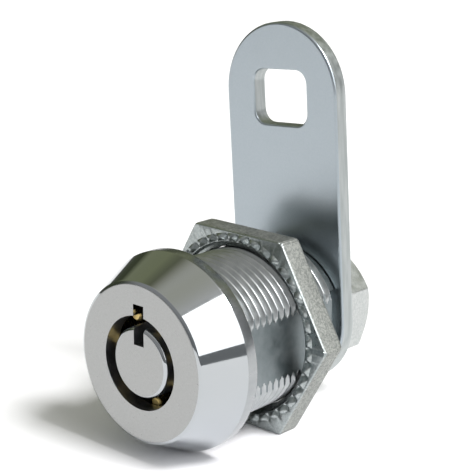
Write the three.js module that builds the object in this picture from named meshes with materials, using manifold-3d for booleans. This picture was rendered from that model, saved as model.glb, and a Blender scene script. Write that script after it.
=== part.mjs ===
// Radial pin (tubular) cam lock for a 19 mm double-D panel hole, in millimetres.
//
// Frame: the lock's axis is Y. The head faces -Y, the cam and its nut are at +Y, and +Z is up.
// The origin is on the axis, in the plane of the head's rear face, which seats on the panel.
// Angles are measured about the axis from +X towards +Z, as seen from the front.

import * as THREE from 'three';
import { mergeVertices } from 'three/addons/utils/BufferGeometryUtils.js';
import Module from 'manifold-3d';

const wasm = await Module();
wasm.setup();

// ---------------------------------------------------------------- driving dimensions

// Head and threaded body
const HEAD_LENGTH = 6.42;
const FACE_R = 8.78;
const FACE_CHAMFER_R = 9.17;
const FACE_CHAMFER_DEPTH = 0.2;
const RIM_R = 11.42;
const RIM_BAND = 1.42;
const THREAD_R = 9.5;
const BODY_END = 16.32;
const BODY_END_CHAMFER = 0.5;
const FLAT_HALF = 8.3;

// Key entry and the stepped bore behind it
const KEYWAY_R = 5.285;
const LIP_DEPTH = 1.92;
const CHAMBER_R = 6.05;
const CHAMBER_END = 0.85;
const BORE_R = 6.6;
const NOTCH_HALF = 0.78;
const NOTCH_TOP_R = 6.6;

// Spindle: centre post, flange, shank and double-D threaded tail
const POST_R = 4.05;
const POST_CHAMFER = 0.22;
const POST_NOTCH_HALF = 0.75;
const POST_NOTCH_BOTTOM_R = 2.0;
const POST_NOTCH_DEPTH = 3.8;
const FLANGE_FRONT = 1.0;
const SHEAR_LINE = 5.0;
const FLANGE_R = 6.45;
const SHANK_R = 3.9;
const SHANK_END = 16.45;
const TAIL_FLAT_HALF = 3.0;
const TAIL_END = 27.2;
const TAIL_CHAMFER = 0.6;

// Pin stacks, spread evenly round the post with the key notch between the first and the last
const PIN_COUNT = 7;
const PIN_TURN = 4; // how far the ring of pins is turned from standing evenly about the notch, degrees
const PIN_CIRCLE_R = 5.1;
const PIN_R = 0.75;
const PIN_HOLE_R = 0.85;
const PIN_FRONT = -4.4;
const KEY_PIN_TRAVEL = [2.0, 3.0, 1.5, 2.5, 3.5, 1.0, 3.0];
const DRIVER_FRONT = 5.2;
const DRIVER_LENGTH = 3.2;

// Driver sleeve, its cross pin and the pin springs
const SLEEVE_FRONT = 5.15;
const SLEEVE_END = 15.6;
const SLEEVE_R = 6.45;
const SLEEVE_BORE_R = 4.0;
const SPRING_POCKET_END = 14.2;
const SPRING_R = 0.55;
const SPRING_WIRE_R = 0.12;
const SPRING_TURNS = 6;
const CROSS_PIN_R = 0.8;
const CROSS_PIN_HOLE_R = 0.9;
const CROSS_PIN_Y = 7.2;
const CROSS_PIN_INNER = 4.8;
const CROSS_PIN_OUTER = 8.2;

// Mounting nut, in its place on the thread
const NUT_FRONT = 9.2;
const NUT_THICKNESS = 3.06;
const NUT_FLATS = 22.86;
const NUT_BORE_R = 9.7;
const NUT_CHAMFER_R = 12.75;
const NUT_CHAMFER_DEPTH = 0.28;
const NUT_TEETH = 40;
const TOOTH_OUTER_R = 11.26;
const TOOTH_HEIGHT = 0.45;

// Stop washer and the stop lug that it turns against
const STOP_FRONT = 16.55;
const STOP_THICKNESS = 1.75;
const STOP_HUB_R = 6.5;
const STOP_R = 8.1;
const LUG_INNER_R = 6.8;
const LUG_END = 18.0;
const LUG_ANGLE = 286.5;
const LUG_WIDTH = 24;
const TURN_RANGE = 90;
const STOP_MARGIN = 1.5;

// Cam: a flat bar with a double-D hole for the spindle and the same hole at its tip
const CAM_FRONT = 18.45;
const CAM_THICKNESS = 2.05;
const CAM_HALF_WIDTH = 8.26;
const CAM_TIP_Z = 26.04;
const CAM_FOOT_Z = -0.5;
const CAM_HOLE_WIDTH = 7.9;
const CAM_HOLE_HEIGHT = 6.5;
const CAM_HOLE_CORNER = 1.6;
const CAM_TIP_HOLE_Z = 25.6;
const CAM_LEAN = 3.7; // play of the cam's hole on the spindle's flats, degrees

// Lock washer and hexagon nut on the spindle's tail
const WASHER_FRONT = 20.6;
const WASHER_THICKNESS = 0.9;
const WASHER_R = 7.0;
const WASHER_ROOT_R = 6.0;
const WASHER_TEETH = 12;
const CAM_NUT_FRONT = 21.6;
const CAM_NUT_THICKNESS = 4.3;
const CAM_NUT_FLATS = 13;
const CAM_NUT_CHAMFER_R = 6.3;
const CAM_NUT_CHAMFER_DEPTH = 1.1;
const CAM_NUT_TURN = 20.75;
const TAIL_CLEARANCE_R = 4.05;

const ROUND_SIDES = 64;
const SMALL_SIDES = 32;
const PIN_SIDES = 12;

// ---------------------------------------------------------------- materials

const metal = (colour, roughness) => new THREE.MeshStandardMaterial({ color: colour, roughness, metalness: 1 });
const chromePlate = () => metal(0xc9ccce, 0.12);
const zincPlate = () => metal(0xa9b0b3, 0.32);
const steelPlate = () => metal(0xb4b9bb, 0.3);
const brass = () => metal(0xb8923e, 0.3);
const springSteel = () => metal(0x8c8f92, 0.35);

// ---------------------------------------------------------------- shape helpers

const radians = (degrees) => THREE.MathUtils.degToRad(degrees);
const polar = (r, degrees) => [r * Math.cos(radians(degrees)), r * Math.sin(radians(degrees))];

/** A closed geometry as a manifold solid: shared vertices merged, collapsed triangles dropped. */
function solid(geometry) {
  const bare = geometry.clone();
  bare.deleteAttribute('normal');
  bare.deleteAttribute('uv');
  const merged = mergeVertices(bare, 1e-5);
  const index = merged.index.array;
  const kept = [];
  for (let i = 0; i < index.length; i += 3) {
    const [a, b, c] = [index[i], index[i + 1], index[i + 2]];
    if (a !== b && b !== c && c !== a) kept.push(a, b, c);
  }
  const vertProperties = new Float32Array(merged.attributes.position.array);
  return new wasm.Manifold(new wasm.Mesh({ numProp: 3, vertProperties, triVerts: new Uint32Array(kept) }));
}

/** A manifold solid as a three.js geometry. */
function geometryOf(body) {
  const mesh = body.getMesh();
  const geometry = new THREE.BufferGeometry();
  geometry.setAttribute('position', new THREE.BufferAttribute(new Float32Array(mesh.vertProperties), 3));
  geometry.setIndex(new THREE.BufferAttribute(new Uint32Array(mesh.triVerts), 1));
  geometry.computeVertexNormals();
  return geometry;
}

/** A body of revolution about the lock's axis, from [radius, y] corners listed with the solid on the left. */
function turned(corners, sides = ROUND_SIDES) {
  const outline = corners.map(([r, y]) => new THREE.Vector2(r, y));
  const onAxis = corners[0][0] === 0 && corners[corners.length - 1][0] === 0;
  if (!onAxis) outline.push(outline[0].clone());
  return solid(new THREE.LatheGeometry(outline, sides));
}

/** A round bar along the axis direction, centred on (x, z), from one y to another. */
function bar(radius, yFrom, yTo, [x, z] = [0, 0], sides = SMALL_SIDES) {
  const geometry = new THREE.CylinderGeometry(radius, radius, yTo - yFrom, sides);
  return solid(geometry.translate(x, (yFrom + yTo) / 2, z));
}

/** A box given by its lowest and highest corners. */
function block(low, high) {
  const size = high.map((value, i) => value - low[i]);
  const geometry = new THREE.BoxGeometry(...size);
  return solid(geometry.translate(...low.map((value, i) => value + size[i] / 2)));
}

/** A shape drawn in the X-Z plane, as seen from the front, thickened from one y towards +Y. */
function plate(shape, yFront, thickness, curveSegments = 12) {
  const geometry = new THREE.ExtrudeGeometry(shape, { depth: thickness, bevelEnabled: false, curveSegments });
  return solid(geometry.rotateX(Math.PI / 2).translate(0, yFront + thickness, 0));
}

/** A closed outline through [x, z] corners. */
const outlineOf = (corners) => new THREE.Shape(corners.map(([x, z]) => new THREE.Vector2(x, z)));

/** A part of a ring between two radii and two angles. */
function ringSector(innerR, outerR, fromAngle, toAngle, yFront, thickness) {
  const shape = new THREE.Shape();
  shape.absarc(0, 0, outerR, radians(fromAngle), radians(toAngle), false);
  shape.absarc(0, 0, innerR, radians(toAngle), radians(fromAngle), true);
  shape.closePath();
  return plate(shape, yFront, thickness, 24);
}

/** A regular hexagon prism across two flats, with its first corner at an angle. */
function hexagon(acrossFlats, cornerAngle, yFront, thickness) {
  const cornerR = acrossFlats / Math.sqrt(3);
  const corners = Array.from({ length: 6 }, (_, i) => polar(cornerR, cornerAngle + 60 * i));
  return plate(outlineOf(corners), yFront, thickness);
}

/** A rectangle with rounded corners, centred on (0, z). */
function roundedRectangle(width, height, corner, z) {
  const [right, top] = [width / 2, height / 2];
  const shape = new THREE.Shape();
  shape.absarc(right - corner, z + top - corner, corner, 0, Math.PI / 2, false);
  shape.absarc(-right + corner, z + top - corner, corner, Math.PI / 2, Math.PI, false);
  shape.absarc(-right + corner, z - top + corner, corner, Math.PI, 1.5 * Math.PI, false);
  shape.absarc(right - corner, z - top + corner, corner, 1.5 * Math.PI, 2 * Math.PI, false);
  shape.closePath();
  return shape;
}

/** The double-D hole that the cam and the stop washer share. */
const spindleHole = () => roundedRectangle(CAM_HOLE_WIDTH, CAM_HOLE_HEIGHT, CAM_HOLE_CORNER, 0);

/** The middle angle of a pin stack, counted clockwise from the key notch. */
const pinAngle = (i) => 90 + PIN_TURN - (i + 0.5) * (360 / PIN_COUNT);

/** A bar from the axis outwards at the cross pin's place. */
function crossBar(radius, inner, outer) {
  const geometry = new THREE.CylinderGeometry(radius, radius, outer - inner, 16);
  geometry.rotateZ(-Math.PI / 2).translate((inner + outer) / 2, 0, 0);
  const angle = pinAngle(PIN_COUNT - 2) + 180 / PIN_COUNT;
  return solid(geometry.rotateY(-radians(angle)).translate(0, CROSS_PIN_Y, 0));
}

// ---------------------------------------------------------------- the housing group

/** Conical head, threaded double-D body, stepped bore, key notch and rear stop lug in one casting. */
function housing() {
  const lipEnd = -HEAD_LENGTH + LIP_DEPTH;
  let body = turned([
    [KEYWAY_R, -HEAD_LENGTH],
    [FACE_R, -HEAD_LENGTH],
    [FACE_CHAMFER_R, -HEAD_LENGTH + FACE_CHAMFER_DEPTH],
    [RIM_R, -RIM_BAND],
    [RIM_R, 0],
    [THREAD_R, 0],
    [THREAD_R, BODY_END - BODY_END_CHAMFER],
    [THREAD_R - BODY_END_CHAMFER, BODY_END],
    [BORE_R, BODY_END],
    [BORE_R, CHAMBER_END],
    [CHAMBER_R, CHAMBER_END],
    [CHAMBER_R, lipEnd],
    [KEYWAY_R, lipEnd],
  ]);
  for (const side of [-1, 1]) {
    const [near, far] = [FLAT_HALF, THREAD_R + 1].map((x) => side * x).sort((a, b) => a - b);
    body = body.subtract(block([near, 0, -THREAD_R], [far, BODY_END + 1, THREAD_R]));
  }
  const notch = block([-NOTCH_HALF, -HEAD_LENGTH - 1, KEYWAY_R - 1], [NOTCH_HALF, lipEnd + 0.1, NOTCH_TOP_R]);
  const lug = ringSector(
    LUG_INNER_R, STOP_R, LUG_ANGLE - LUG_WIDTH / 2, LUG_ANGLE + LUG_WIDTH / 2,
    BODY_END - 1, LUG_END - BODY_END + 1,
  );
  return body.subtract(notch).add(lug).subtract(crossBar(CROSS_PIN_HOLE_R, CROSS_PIN_INNER, THREAD_R));
}

/** Fixed sleeve behind the shear line, with a blind pocket for each driver pin and its spring. */
function driverSleeve() {
  let body = turned([
    [SLEEVE_BORE_R, SLEEVE_FRONT],
    [SLEEVE_R, SLEEVE_FRONT],
    [SLEEVE_R, SLEEVE_END],
    [SLEEVE_BORE_R, SLEEVE_END],
  ]);
  for (let i = 0; i < PIN_COUNT; i += 1) {
    const place = polar(PIN_CIRCLE_R, pinAngle(i));
    body = body.subtract(bar(PIN_HOLE_R, SLEEVE_FRONT - 1, SPRING_POCKET_END, place, PIN_SIDES));
  }
  return body.subtract(crossBar(CROSS_PIN_HOLE_R, CROSS_PIN_INNER - 0.1, THREAD_R));
}

/** Cross pin that holds the sleeve in the housing. */
const sleevePin = () => crossBar(CROSS_PIN_R, CROSS_PIN_INNER, CROSS_PIN_OUTER);

/** Compression spring of round wire behind one driver pin. */
function pinSpring(i) {
  const [x, z] = polar(PIN_CIRCLE_R, pinAngle(i));
  const start = DRIVER_FRONT + DRIVER_LENGTH + SPRING_WIRE_R + 0.05;
  const end = SPRING_POCKET_END - SPRING_WIRE_R - 0.05;
  class Coil extends THREE.Curve {
    getPoint(t, target = new THREE.Vector3()) {
      const turn = 2 * Math.PI * SPRING_TURNS * t;
      const along = start + (end - start) * t;
      return target.set(x + SPRING_R * Math.cos(turn), along, z + SPRING_R * Math.sin(turn));
    }
  }
  const section = outlineOf([0, 90, 180, 270].map((angle) => polar(SPRING_WIRE_R, angle)));
  const steps = SPRING_TURNS * 7;
  return solid(new THREE.ExtrudeGeometry(section, { steps, bevelEnabled: false, extrudePath: new Coil() }));
}

// ---------------------------------------------------------------- the mounting nut

/** Ring of radial teeth that bite the panel: flat at the back, ridged at the front. */
function toothRing() {
  const stations = NUT_TEETH * 2;
  const back = NUT_FRONT + 0.5;
  const vertices = [];
  for (let i = 0; i < stations; i += 1) {
    const angle = (360 * i) / stations;
    const front = i % 2 === 0 ? NUT_FRONT : NUT_FRONT - TOOTH_HEIGHT;
    const [innerX, innerZ] = polar(NUT_BORE_R, angle);
    const [outerX, outerZ] = polar(TOOTH_OUTER_R, angle);
    vertices.push(innerX, front, innerZ, outerX, front, outerZ, outerX, back, outerZ, innerX, back, innerZ);
  }
  const index = [];
  for (let i = 0; i < stations; i += 1) {
    const [here, next] = [4 * i, 4 * ((i + 1) % stations)];
    for (let side = 0; side < 4; side += 1) {
      const [a, b] = [side, (side + 1) % 4];
      index.push(here + a, here + b, next + b, here + a, next + b, next + a);
    }
  }
  const geometry = new THREE.BufferGeometry();
  geometry.setAttribute('position', new THREE.Float32BufferAttribute(vertices, 3));
  geometry.setIndex(index);
  return solid(geometry);
}

/** Large hexagon nut with chamfered corners and a toothed clamping face. */
function mountingNut() {
  const rear = NUT_FRONT + NUT_THICKNESS;
  const cornerR = NUT_FLATS / Math.sqrt(3);
  const chamfers = turned([
    [NUT_BORE_R, NUT_FRONT],
    [NUT_CHAMFER_R, NUT_FRONT],
    [cornerR + 0.1, NUT_FRONT + NUT_CHAMFER_DEPTH],
    [cornerR + 0.1, rear - NUT_CHAMFER_DEPTH],
    [NUT_CHAMFER_R, rear],
    [NUT_BORE_R, rear],
  ]);
  return hexagon(NUT_FLATS, 0, NUT_FRONT, NUT_THICKNESS).intersect(chamfers).add(toothRing());
}

// ---------------------------------------------------------------- the plug group

/** Rotating spindle: centre post, flange with the key pins' holes, shank and double-D tail. */
function spindle() {
  let body = turned([
    [0, -HEAD_LENGTH],
    [POST_R - POST_CHAMFER, -HEAD_LENGTH],
    [POST_R, -HEAD_LENGTH + POST_CHAMFER],
    [POST_R, FLANGE_FRONT],
    [FLANGE_R, FLANGE_FRONT],
    [FLANGE_R, SHEAR_LINE],
    [SHANK_R, SHEAR_LINE],
    [SHANK_R, TAIL_END - TAIL_CHAMFER],
    [SHANK_R - TAIL_CHAMFER, TAIL_END],
    [0, TAIL_END],
  ]);
  for (let i = 0; i < PIN_COUNT; i += 1) {
    const place = polar(PIN_CIRCLE_R, pinAngle(i));
    body = body.subtract(bar(PIN_HOLE_R, FLANGE_FRONT - 1, SHEAR_LINE + 1, place, PIN_SIDES));
  }
  const notchEnd = -HEAD_LENGTH + POST_NOTCH_DEPTH;
  body = body.subtract(block(
    [-POST_NOTCH_HALF, -HEAD_LENGTH - 1, POST_NOTCH_BOTTOM_R],
    [POST_NOTCH_HALF, notchEnd, POST_R + 1],
  ));
  for (const side of [-1, 1]) {
    const [low, high] = [TAIL_FLAT_HALF, SHANK_R + 1].map((z) => side * z).sort((a, b) => a - b);
    body = body.subtract(block([-SHANK_R, SHANK_END, low], [SHANK_R, TAIL_END + 1, high]));
  }
  return body;
}

/** Thick washer on the spindle's flats; its gap gives the quarter turn round the housing's lug. */
function stopWasher() {
  const gapFrom = LUG_ANGLE - LUG_WIDTH / 2 - STOP_MARGIN;
  const gapTo = LUG_ANGLE + LUG_WIDTH / 2 + TURN_RANGE + STOP_MARGIN;
  const sector = ringSector(STOP_HUB_R - 1, STOP_R, gapTo, gapFrom + 360, STOP_FRONT, STOP_THICKNESS);
  const hub = bar(STOP_HUB_R, STOP_FRONT, STOP_FRONT + STOP_THICKNESS, [0, 0], ROUND_SIDES);
  const hole = plate(spindleHole(), STOP_FRONT - 1, STOP_THICKNESS + 2, 6);
  return hub.add(sector).subtract(hole);
}

/** Flat cam bar with round ends. */
function cam() {
  const shape = new THREE.Shape();
  shape.absarc(0, CAM_TIP_Z, CAM_HALF_WIDTH, 0, Math.PI, false);
  shape.absarc(0, CAM_FOOT_Z, CAM_HALF_WIDTH, Math.PI, 2 * Math.PI, false);
  shape.closePath();
  const tipHole = roundedRectangle(CAM_HOLE_WIDTH, CAM_HOLE_HEIGHT, CAM_HOLE_CORNER, CAM_TIP_HOLE_Z);
  return plate(shape, CAM_FRONT, CAM_THICKNESS, 24)
    .subtract(plate(spindleHole(), CAM_FRONT - 1, CAM_THICKNESS + 2, 6))
    .subtract(plate(tipHole, CAM_FRONT - 1, CAM_THICKNESS + 2, 6));
}

/** External-tooth lock washer under the cam's nut. */
function lockWasher() {
  const corners = [];
  for (let i = 0; i < WASHER_TEETH; i += 1) {
    const step = 360 / WASHER_TEETH;
    for (const [r, part] of [[WASHER_ROOT_R, 0], [WASHER_R, 0.2], [WASHER_R, 0.6], [WASHER_ROOT_R, 0.8]]) {
      corners.push(polar(r, (i + part) * step));
    }
  }
  const bore = bar(TAIL_CLEARANCE_R, WASHER_FRONT - 1, WASHER_FRONT + WASHER_THICKNESS + 1);
  return plate(outlineOf(corners), WASHER_FRONT, WASHER_THICKNESS).subtract(bore);
}

/** Hexagon nut that clamps the cam, chamfered at its rear. */
function camNut() {
  const rear = CAM_NUT_FRONT + CAM_NUT_THICKNESS;
  const cornerR = CAM_NUT_FLATS / Math.sqrt(3) + 0.1;
  const chamfer = turned([
    [TAIL_CLEARANCE_R, CAM_NUT_FRONT],
    [cornerR, CAM_NUT_FRONT],
    [cornerR, rear - CAM_NUT_CHAMFER_DEPTH],
    [CAM_NUT_CHAMFER_R, rear],
    [TAIL_CLEARANCE_R, rear],
  ], SMALL_SIDES);
  return hexagon(CAM_NUT_FLATS, CAM_NUT_TURN, CAM_NUT_FRONT, CAM_NUT_THICKNESS).intersect(chamfer);
}

// ---------------------------------------------------------------- pins

/** Key pin: all fronts rest behind the lip, and each length leaves its own travel to the shear line. */
function keyPin(i) {
  const end = SHEAR_LINE - KEY_PIN_TRAVEL[i];
  const [x, z] = polar(PIN_CIRCLE_R, pinAngle(i));
  const profile = [
    [0, PIN_FRONT], [PIN_R - 0.2, PIN_FRONT], [PIN_R, PIN_FRONT + 0.2],
    [PIN_R, end - 0.1], [PIN_R - 0.1, end], [0, end],
  ];
  return turned(profile, PIN_SIDES).translate([x, 0, z]);
}

/** Driver pin, held at the shear line in front of its spring. */
function driverPin(i) {
  const end = DRIVER_FRONT + DRIVER_LENGTH;
  const [x, z] = polar(PIN_CIRCLE_R, pinAngle(i));
  const profile = [
    [0, DRIVER_FRONT], [PIN_R - 0.1, DRIVER_FRONT], [PIN_R, DRIVER_FRONT + 0.1], [PIN_R, end], [0, end],
  ];
  return turned(profile, PIN_SIDES).translate([x, 0, z]);
}

// ---------------------------------------------------------------- assembly

/** A named mesh for one solid, in a group. */
function place(group, name, body, material) {
  const mesh = new THREE.Mesh(geometryOf(body), material);
  mesh.name = name;
  group.add(mesh);
}

const lock = new THREE.Group();
const fixed = new THREE.Group();
const plug = new THREE.Group();
const camGroup = new THREE.Group();
camGroup.rotation.y = -radians(CAM_LEAN);
plug.add(camGroup);
lock.add(fixed, plug);

place(fixed, 'housing', housing(), chromePlate());
place(fixed, 'driver_sleeve', driverSleeve(), brass());
place(fixed, 'sleeve_pin', sleevePin(), steelPlate());
place(fixed, 'mounting_nut', mountingNut(), zincPlate());
place(plug, 'spindle', spindle(), chromePlate());
place(plug, 'stop_washer', stopWasher(), zincPlate());
place(camGroup, 'cam', cam(), zincPlate());
place(plug, 'lock_washer', lockWasher(), steelPlate());
place(plug, 'cam_nut', camNut(), steelPlate());
for (let i = 0; i < PIN_COUNT; i += 1) {
  place(plug, `key_pin_${i + 1}`, keyPin(i), brass());
  place(fixed, `driver_pin_${i + 1}`, driverPin(i), steelPlate());
  place(fixed, `pin_spring_${i + 1}`, pinSpring(i), springSteel());
}

export default lock;
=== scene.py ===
"""Looks of a radial pin cam lock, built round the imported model.

Shapes are worked out in millimetres in the model's own frame: the lock's axis is Y with the head towards
-Y, +Z is up, and angles run about the axis from +X towards +Z. MM turns them into Blender's metres.
"""

import math
from functools import cache

import bmesh
import bpy
import numpy as np
from mathutils import Matrix, Vector


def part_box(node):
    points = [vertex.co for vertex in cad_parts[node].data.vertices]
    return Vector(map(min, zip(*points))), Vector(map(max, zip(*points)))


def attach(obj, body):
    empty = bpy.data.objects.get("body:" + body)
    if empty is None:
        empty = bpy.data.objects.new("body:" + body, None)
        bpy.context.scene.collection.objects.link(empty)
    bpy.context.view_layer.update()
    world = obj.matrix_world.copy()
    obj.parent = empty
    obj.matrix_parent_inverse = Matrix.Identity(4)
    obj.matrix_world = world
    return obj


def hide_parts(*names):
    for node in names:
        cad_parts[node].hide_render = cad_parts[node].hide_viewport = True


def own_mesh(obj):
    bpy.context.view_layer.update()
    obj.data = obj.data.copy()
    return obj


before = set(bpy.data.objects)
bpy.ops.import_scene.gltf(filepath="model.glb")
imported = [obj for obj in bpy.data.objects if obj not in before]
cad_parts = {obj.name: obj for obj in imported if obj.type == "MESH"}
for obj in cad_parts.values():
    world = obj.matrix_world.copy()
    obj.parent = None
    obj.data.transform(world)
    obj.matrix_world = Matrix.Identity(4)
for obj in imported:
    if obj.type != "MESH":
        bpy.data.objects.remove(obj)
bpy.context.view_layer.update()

MM = 0.001

# ---------------------------------------------------------------- places, from the frame


def box_mm(node):
    """A CAD node's lowest and highest corners, in millimetres."""
    low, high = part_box(node)
    return np.array(low) / MM, np.array(high) / MM


HOUSING_LOW, HOUSING_HIGH = box_mm("housing")
NUT_LOW, NUT_HIGH = box_mm("mounting_nut")
SPINDLE_HIGH = box_mm("spindle")[1]
STOP_LOW, STOP_HIGH = box_mm("stop_washer")
CAM_LOW, CAM_HIGH = box_mm("cam")
WASHER_LOW, WASHER_HIGH = box_mm("lock_washer")
CAM_NUT_LOW, CAM_NUT_HIGH = box_mm("cam_nut")

PIN_COUNT = sum(name.startswith("key_pin_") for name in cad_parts)
HEAD_FRONT = HOUSING_LOW[1]
RIM_R = HOUSING_HIGH[0]
LUG_END = HOUSING_HIGH[1]
FLOOR_Z = NUT_LOW[2]

# ---------------------------------------------------------------- sizes, in millimetres and degrees

# R is a radius, HALF half a width, and EDGE how far the rounding of an edge reaches. A pair of values is
# for the front and the rear, or the start and the end, where nothing else is said.

# Head, keyway and body
FACE_R = 8.78
FACE_CHAMFER_R = 9.17
FACE_CHAMFER_DEPTH = 0.2
FACE_EDGE = 0.08
RIM_BAND = 1.42
RIM_EDGES = (0.07, 0.12)
THREAD_R = 9.5
THREAD_ROOT_R = 8.93
THREAD_PITCH = 1.0
THREAD_START = 0.45
BODY_END = 16.32
BODY_END_CHAMFER = 0.5
FLAT_HALF = 8.3
FLAT_EDGE_ANGLE = 25
KEYWAY_R = 5.285
KEYWAY_EDGE = 0.06
LIP_DEPTH = 1.92
LIP_OVERCUT = 0.1
CHAMBER_R = 6.05
CHAMBER_END = 0.85
BORE_R = 6.6
NOTCH_HALF = 0.78
NOTCH_TOP_R = 6.6
LUG_INNER_R = 6.8
LUG_ANGLES = (274.5, 298.5)
CROSS_PIN_Y = 7.2
CROSS_PIN_R = 0.8
CROSS_PIN_HOLE_R = 0.9
CROSS_PIN_HOLE_START = 5
CROSS_PIN_REACH = (4.8, 8.2)
CROSS_PIN_EDGE = 0.1
CROSS_PIN_DOME = 0.12

# Spindle, pins and springs
POST_R = 4.05
POST_CHAMFER = 0.3
POST_EDGE = 0.14
POST_NOTCH_HALF = 0.75
POST_NOTCH_BOTTOM_R = 2.0
POST_NOTCH_DEPTH = 3.8
FLANGE_FRONT = 1.0
SHEAR_LINE = 5.0
FLANGE_R = 6.45
FLANGE_EDGES = (0.15, 0.1)
SHANK_R = 3.9
SHANK_END = 16.45
TAIL_ROOT_R = 3.25
TAIL_FLAT_HALF = 3.0
TAIL_FLAT_EDGE_ANGLE = 32
TAIL_PITCH = 1.25
TAIL_THREAD_START = 20.7
TAIL_THREAD_LEAD = 0.05
TAIL_CHAMFER = 0.6
TAIL_END_INSET = 0.3
PIN_TURN = 4
PIN_CIRCLE_R = 5.1
PIN_R = 0.75
PIN_EDGE = 0.1
PIN_NOSES = {"key": 0.22, "driver": 0.1}
PIN_HOLE_R = 0.85
SPRING_R = 0.55
SPRING_WIRE_R = 0.12
SPRING_TURNS = 6
SPRING_CLOSING = 0.35

# Mounting nut
NUT_FACE = 9.2
NUT_BORE_CREST_R = 9.62
NUT_BORE_ROOT_R = 10.0
NUT_CHAMFER_R = 12.95
NUT_CHAMFER_SLOPE = 0.5
NUT_TEETH = 40
NUT_COUNTERSINK_R = 10.25
NUT_COUNTERSINK_EDGE = (0.05, 0.03)  # out along the face, down from it
NUT_REAR_COUNTERSINK = 0.15
NUT_THREAD_LEADS = (0.1, 0.35)
TOOTH_INNER_R = 10.35
TOOTH_OUTER_R = 11.26
TOOTH_GAP_DEPTH = 0.16
TOOTH_GAP_SHARE = 0.12
TOOTH_UNEVENNESS = 0.14
TOOTH_RHYTHM = 2.4
TOOTH_BLUNTNESS = 0.7
NUT_CORNER = 0.25
NUT_EDGE = (0.13, 0.3)  # in from the flat, down from the face
NUT_EDGE_TURNS = (20, 45, 70, 90)

# Stop washer, cam, lock washer and the cam's nut
STOP_HUB_R = 6.5
STOP_R = 8.1
STOP_SECTOR = (30, 273)
STOP_EDGE = 0.12
CAM_HALF_WIDTH = 8.26
CAM_TIP_Z = 26.04
CAM_FOOT_Z = -0.5
CAM_TIP_HOLE_Z = 25.6
CAM_HOLE = (7.9, 6.5, 1.6)  # width, height, corner radius
CAM_LEAN = 3.7
CAM_EDGE = 0.32
HOLE_EDGE = 0.22
WASHER_R = 7.0
WASHER_ROOT_R = 6.0
WASHER_TEETH = 12
WASHER_EDGE = 0.07
WASHER_ROOM = 0.15
WASHER_TWIST = 0.22
WASHER_TOOTH_SHARE = 0.8
WASHER_FLANK_SHARE = 0.2
TAIL_CLEARANCE_R = 4.05
CAM_NUT_FLATS = 13
CAM_NUT_CHAMFER_R = 6.3
CAM_NUT_CHAMFER_SLOPE = 0.85
CAM_NUT_TURN = 20.75
CAM_NUT_CORNER = 0.2
CAM_NUT_EDGE = 0.12
CAM_NUT_CHAMFER_EDGE = 0.15
CAM_NUT_BORE_EDGES = (0.2, 0.3)

# How far a cutting body reaches past what it cuts
OVERCUT = 1

# ---------------------------------------------------------------- camera

CAMERA_PLACE = (105.8, -106.9, 54.8)
CAMERA_AZIMUTH = 42.33
CAMERA_ELEVATION = 15.6
CAMERA_LENS = 109.1
CAMERA_NEAR = 5


def make_camera():
    """The camera, level from side to side, at its place by the lock."""
    data = bpy.data.cameras.new("camera")
    data.lens = CAMERA_LENS
    data.clip_start = CAMERA_NEAR * MM
    camera = bpy.data.objects.new("camera", data)
    camera.location = Vector(CAMERA_PLACE) * MM
    camera.rotation_euler = (math.radians(90 - CAMERA_ELEVATION), 0, math.radians(CAMERA_AZIMUTH))
    bpy.context.scene.collection.objects.link(camera)
    bpy.context.scene.camera = camera


# ---------------------------------------------------------------- mesh helpers


def polar(radius, degrees):
    """The (x, z) point at a radius and an angle."""
    return radius * math.cos(math.radians(degrees)), radius * math.sin(math.radians(degrees))


# Distances, in millimetres, under which points merge and edges collapse
MERGE_GAP = 2e-4
SHORT_EDGE = 1e-5

# The bend, in degrees, from which an edge is crisp
SHARP_ANGLE = 35


def finish_mesh(name, bm, sharp=SHARP_ANGLE):
    """A linked object from a bmesh in millimetres, cleaned, facing out, smooth with crisp edges."""
    bmesh.ops.remove_doubles(bm, verts=bm.verts, dist=MERGE_GAP)
    bmesh.ops.dissolve_degenerate(bm, edges=bm.edges, dist=SHORT_EDGE)
    bmesh.ops.recalc_face_normals(bm, faces=bm.faces)
    bmesh.ops.transform(bm, matrix=Matrix.Scale(MM, 4), verts=bm.verts)
    mesh = bpy.data.meshes.new(name)
    bm.to_mesh(mesh)
    bm.free()
    mesh.shade_smooth()
    mesh.set_sharp_from_angle(angle=math.radians(sharp))
    piece = bpy.data.objects.new(name, mesh)
    bpy.context.scene.collection.objects.link(piece)
    return piece


# The greatest weight for a face's area, and how alike two areas, in square metres, count as one
AREA_WEIGHT = 100
SAME_AREA = 1e-7


def weight_normals(piece):
    """Lets large faces set the shading, so that small rounded edges don't bend the flats beside them."""
    modifier = piece.modifiers.new("weighted", "WEIGHTED_NORMAL")
    modifier.keep_sharp = True
    modifier.weight = AREA_WEIGHT
    modifier.thresh = SAME_AREA


def skin(grid, closed=True, seam=None):
    """A bmesh over a grid of points [column][row]; columns go round, and rows go round too if closed."""
    bm = bmesh.new()
    columns, rows = len(grid), len(grid[0])
    verts = [[bm.verts.new(point) for point in column] for column in grid]
    for i in range(columns):
        here, there = verts[i], verts[(i + 1) % columns]
        shift = seam if seam and i == columns - 1 else (lambda row: row)
        for j in range(rows if closed else rows - 1):
            k = (j + 1) % rows
            corners = [here[j], there[shift(j)], there[shift(k)], here[k]]
            kept = [v for n, v in enumerate(corners) if v is not corners[n - 1]]
            if len(set(kept)) > 2:
                bm.faces.new(kept)
    return bm


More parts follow.
